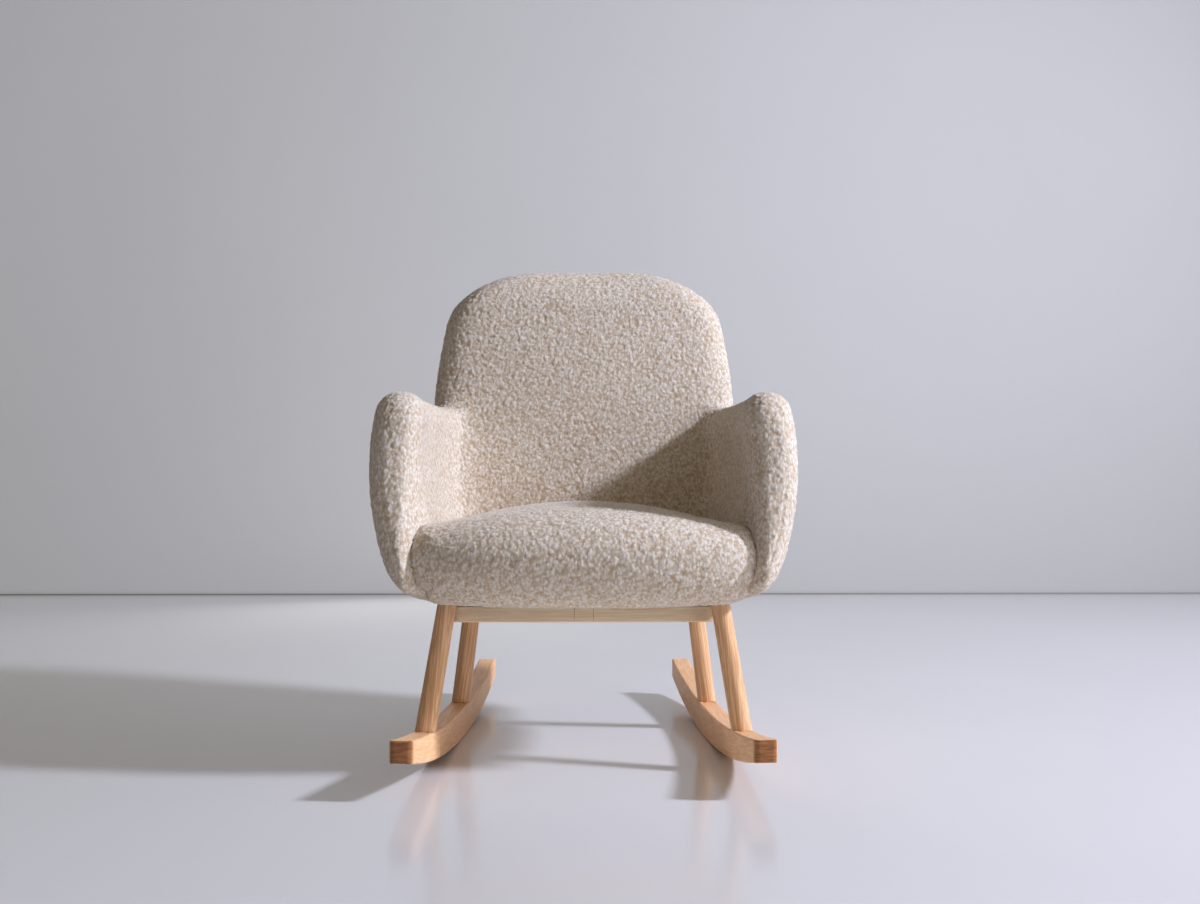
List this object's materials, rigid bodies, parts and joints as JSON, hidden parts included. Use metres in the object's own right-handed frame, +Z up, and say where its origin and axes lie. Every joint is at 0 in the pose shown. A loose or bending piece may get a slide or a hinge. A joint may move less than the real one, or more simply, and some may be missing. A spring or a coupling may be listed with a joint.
{
  "type": "upholstered rocking chair",
  "caption": "Upholstered rocking chair: padded seat, wrap-round arms and a high rounded back in looped fabric, on turned wooden legs that stand on bowed wooden rockers.",
  "frame": {"origin": "on the floor, midway between the two rockers and midway along them", "axes": "+Z up; -Y is the way a sitter faces; +X is the right-hand side as seen from the front"},
  "size_m": [0.6446, 0.7802, 0.8337],
  "materials": {
    "boucle": "looped boucle",
    "foam": "open-cell foam",
    "felt": "needled felt",
    "dust_fabric": "woven, matt",
    "beech": "oiled, satin",
    "base_wood": "pale, matt",
    "frame_wood": "sawn",
    "plywood": "sanded",
    "zinc_steel": "zinc plated",
    "spring_steel": "oil blackened"
  },
  "bodies": {
    "root": {"rocker_left": "beech", "rocker_right": "beech", "leg_front_left": "beech", "leg_front_right": "beech", "leg_rear_left": "beech", "leg_rear_right": "beech", "rocker_screws": "zinc_steel", "rocker_plugs": "beech", "leg_plates": "zinc_steel", "leg_hanger_bolts": "zinc_steel", "leg_plate_screws": "zinc_steel", "front_rail": "frame_wood", "rear_rail": "frame_wood", "side_rail_left": "frame_wood", "side_rail_right": "frame_wood", "frame_dowels": "frame_wood", "corner_blocks": "frame_wood", "corner_block_screws": "zinc_steel", "back_board": "plywood", "arm_board_left": "plywood", "arm_board_right": "plywood", "shell_bolts": "zinc_steel", "shell_washers": "zinc_steel", "seat_springs": "spring_steel", "spring_clips": "zinc_steel", "spring_felt": "felt", "dust_cover": "dust_fabric", "dust_cover_staples": "zinc_steel", "base_board_left": "base_wood", "base_board_right": "base_wood", "base_key": "base_wood", "base_battens": "frame_wood", "base_screws": "zinc_steel", "back_cover": "boucle", "arm_cover_left": "boucle", "arm_cover_right": "boucle", "seat_cover": "boucle", "back_foam": "foam", "arm_foam_left": "foam", "arm_foam_right": "foam", "seat_foam": "foam"}
  },
  "joints": []
}
